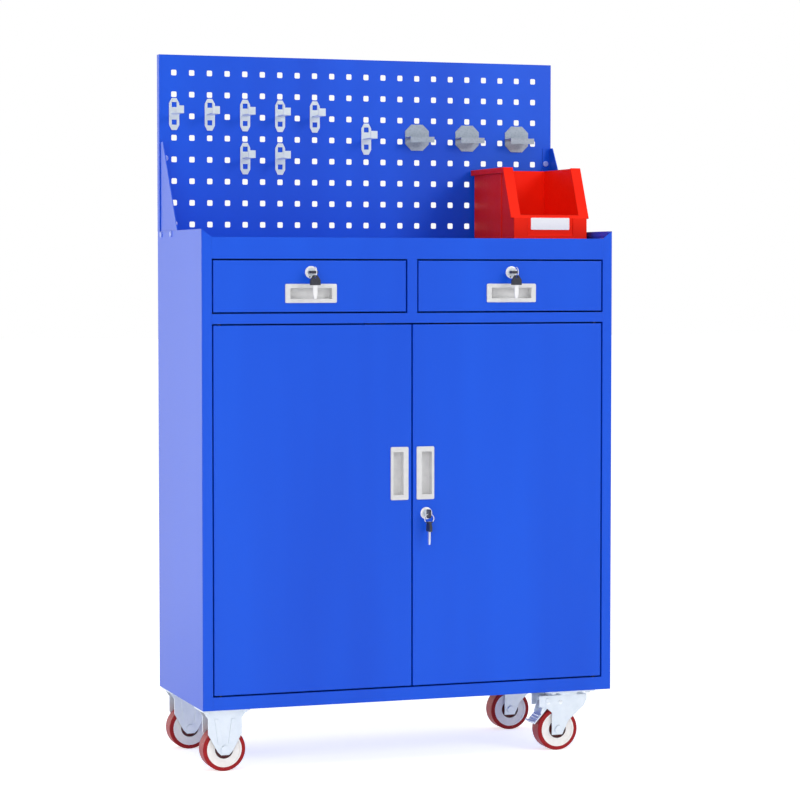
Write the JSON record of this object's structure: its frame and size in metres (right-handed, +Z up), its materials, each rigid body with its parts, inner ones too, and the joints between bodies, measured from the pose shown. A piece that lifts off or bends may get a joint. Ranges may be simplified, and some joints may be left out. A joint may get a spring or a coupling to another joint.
{
  "type": "tool cabinet",
  "caption": "Rolling sheet-steel tool cabinet with a pair of lockable drawers above a double-door cupboard, a top tray with a parts bin, and a hole board with hooks.",
  "frame": {"origin": "on the floor under the middle of the whole object's bounding box", "axes": "+Z up, front with drawers and doors towards -Y, +X to the right of someone facing the front"},
  "size_m": [0.7544, 0.3338, 1.235],
  "materials": {
    "blue_paint": "smooth powder coat, semi-gloss",
    "zinc_steel": "bright zinc plating",
    "chrome_face": "polished chrome plating",
    "pull_plastic": "fine satin moulding",
    "key_plastic": "satin dark moulding over a plated blade",
    "catch_plastic": "matte moulding",
    "bin_plastic": "semi-gloss moulding",
    "tyre_red": "smooth cast polyurethane",
    "wheel_cream": "semi-gloss moulding"
  },
  "bodies": {
    "cabinet": {"left_side_panel": "blue_paint", "right_side_panel": "blue_paint", "back_panel": "blue_paint", "base_pan": "blue_paint", "front_frame": "blue_paint", "tray": "blue_paint", "drawer_deck": "blue_paint", "drawer_partition": "blue_paint", "drawer_rails": "zinc_steel", "shelf": "blue_paint", "shelf_clips": "zinc_steel", "door_catches": "catch_plastic", "door_hinge_pins": "zinc_steel", "hole_board": "blue_paint", "left_gusset": "blue_paint", "right_gusset": "blue_paint", "bolts": "zinc_steel", "strap_hooks": "zinc_steel", "plier_holders": "zinc_steel", "rigid_caster_forks": "zinc_steel", "rigid_caster_axles": "zinc_steel", "swivel_caster_plates": "zinc_steel"},
    "bin": {"parts_bin": "bin_plastic"},
    "left_door": {"left_door": "blue_paint", "left_door_pull": "pull_plastic"},
    "right_door": {"right_door": "blue_paint", "right_door_pull": "pull_plastic", "door_lock_barrel": "chrome_face"},
    "door_lock": {"door_lock_plug": "zinc_steel", "door_key": "key_plastic"},
    "door_spare": {"door_spare_key": "key_plastic"},
    "front_swivel": {"front_swivel_fork": "zinc_steel", "front_swivel_axle": "zinc_steel"},
    "rear_swivel": {"rear_swivel_fork": "zinc_steel", "rear_swivel_axle": "zinc_steel"},
    "brake": {"brake_pedal": "zinc_steel"},
    "left_drawer": {"left_drawer_front": "blue_paint", "left_drawer_box": "blue_paint", "left_drawer_runners": "zinc_steel", "left_drawer_pull": "pull_plastic", "left_drawer_lock_barrel": "chrome_face"},
    "left_drawer_lock": {"left_drawer_lock_plug": "zinc_steel", "left_drawer_key": "key_plastic"},
    "left_drawer_spare": {"left_drawer_spare_key": "key_plastic"},
    "right_drawer": {"right_drawer_front": "blue_paint", "right_drawer_box": "blue_paint", "right_drawer_runners": "zinc_steel", "right_drawer_pull": "pull_plastic", "right_drawer_lock_barrel": "chrome_face"},
    "right_drawer_lock": {"right_drawer_lock_plug": "zinc_steel", "right_drawer_key": "key_plastic"},
    "right_drawer_spare": {"right_drawer_spare_key": "key_plastic"},
    "front_left_wheel": {"front_left_wheel": "wheel_cream", "front_left_tyre": "tyre_red"},
    "rear_left_wheel": {"rear_left_wheel": "wheel_cream", "rear_left_tyre": "tyre_red"},
    "front_right_wheel": {"front_right_wheel": "wheel_cream", "front_right_tyre": "tyre_red"},
    "rear_right_wheel": {"rear_right_wheel": "wheel_cream", "rear_right_tyre": "tyre_red"}
  },
  "joints": [
    {"name": "left_drawer_slide", "type": "slide", "parent": "cabinet", "child": "left_drawer", "axis": [0, -1, 0], "range_m": [0, 0.2]},
    {"name": "left_drawer_lock_turn", "type": "hinge", "parent": "left_drawer", "child": "left_drawer_lock", "pos_m": [-0.1831, -0.1331, 0.8493], "axis": [0, -1, 0], "range_deg": [0, 90]},
    {"name": "left_drawer_spare_swing", "type": "hinge", "parent": "left_drawer_lock", "child": "left_drawer_spare", "pos_m": [-0.1831, -0.1494, 0.8493], "axis": [0, -1, 0], "range_deg": [-18, 18]},
    {"name": "right_drawer_slide", "type": "slide", "parent": "cabinet", "child": "right_drawer", "axis": [0, -1, 0], "range_m": [0, 0.2]},
    {"name": "right_drawer_lock_turn", "type": "hinge", "parent": "right_drawer", "child": "right_drawer_lock", "pos_m": [0.1831, -0.1331, 0.8493], "axis": [0, -1, 0], "range_deg": [0, 90]},
    {"name": "right_drawer_spare_swing", "type": "hinge", "parent": "right_drawer_lock", "child": "right_drawer_spare", "pos_m": [0.1831, -0.1494, 0.8493], "axis": [0, -1, 0], "range_deg": [-18, 18]},
    {"name": "left_door_hinge", "type": "hinge", "parent": "cabinet", "child": "left_door", "pos_m": [-0.3428, -0.1276, 0.5024], "axis": [0, 0, -1], "range_deg": [0, 110]},
    {"name": "right_door_hinge", "type": "hinge", "parent": "cabinet", "child": "right_door", "pos_m": [0.3428, -0.1276, 0.5024], "axis": [0, 0, 1], "range_deg": [0, 110]},
    {"name": "door_lock_turn", "type": "hinge", "parent": "right_door", "child": "door_lock", "pos_m": [0.02525, -0.1331, 0.4324], "axis": [0, -1, 0], "range_deg": [0, 90]},
    {"name": "door_spare_swing", "type": "hinge", "parent": "door_lock", "child": "door_spare", "pos_m": [0.02525, -0.1494, 0.4324], "axis": [0, -1, 0], "range_deg": [-14, 14]},
    {"name": "bin_lift", "type": "slide", "parent": "cabinet", "child": "bin", "axis": [0, 0, 1], "range_m": [0, 0.04]},
    {"name": "front_swivel_turn", "type": "hinge", "parent": "cabinet", "child": "front_swivel", "pos_m": [0.302, -0.0971, 0.099], "axis": [0, 0, 1], "continuous": true},
    {"name": "front_left_wheel_spin", "type": "hinge", "parent": "cabinet", "child": "front_left_wheel", "pos_m": [-0.332, -0.0971, 0.0375], "axis": [0, 1, 0], "continuous": true},
    {"name": "front_right_wheel_spin", "type": "hinge", "parent": "front_swivel", "child": "front_right_wheel", "pos_m": [0.282, -0.0971, 0.0375], "axis": [0, 1, 0], "continuous": true},
    {"name": "rear_swivel_turn", "type": "hinge", "parent": "cabinet", "child": "rear_swivel", "pos_m": [0.302, 0.1309, 0.099], "axis": [0, 0, 1], "continuous": true},
    {"name": "rear_left_wheel_spin", "type": "hinge", "parent": "cabinet", "child": "rear_left_wheel", "pos_m": [-0.332, 0.1309, 0.0375], "axis": [0, 1, 0], "continuous": true},
    {"name": "rear_right_wheel_spin", "type": "hinge", "parent": "rear_swivel", "child": "rear_right_wheel", "pos_m": [0.282, 0.1309, 0.0375], "axis": [0, 1, 0], "continuous": true},
    {"name": "brake_press", "type": "hinge", "parent": "front_swivel", "child": "brake", "pos_m": [0.261, -0.0971, 0.09], "axis": [0, -1, 0], "range_deg": [0, 6]}
  ]
}
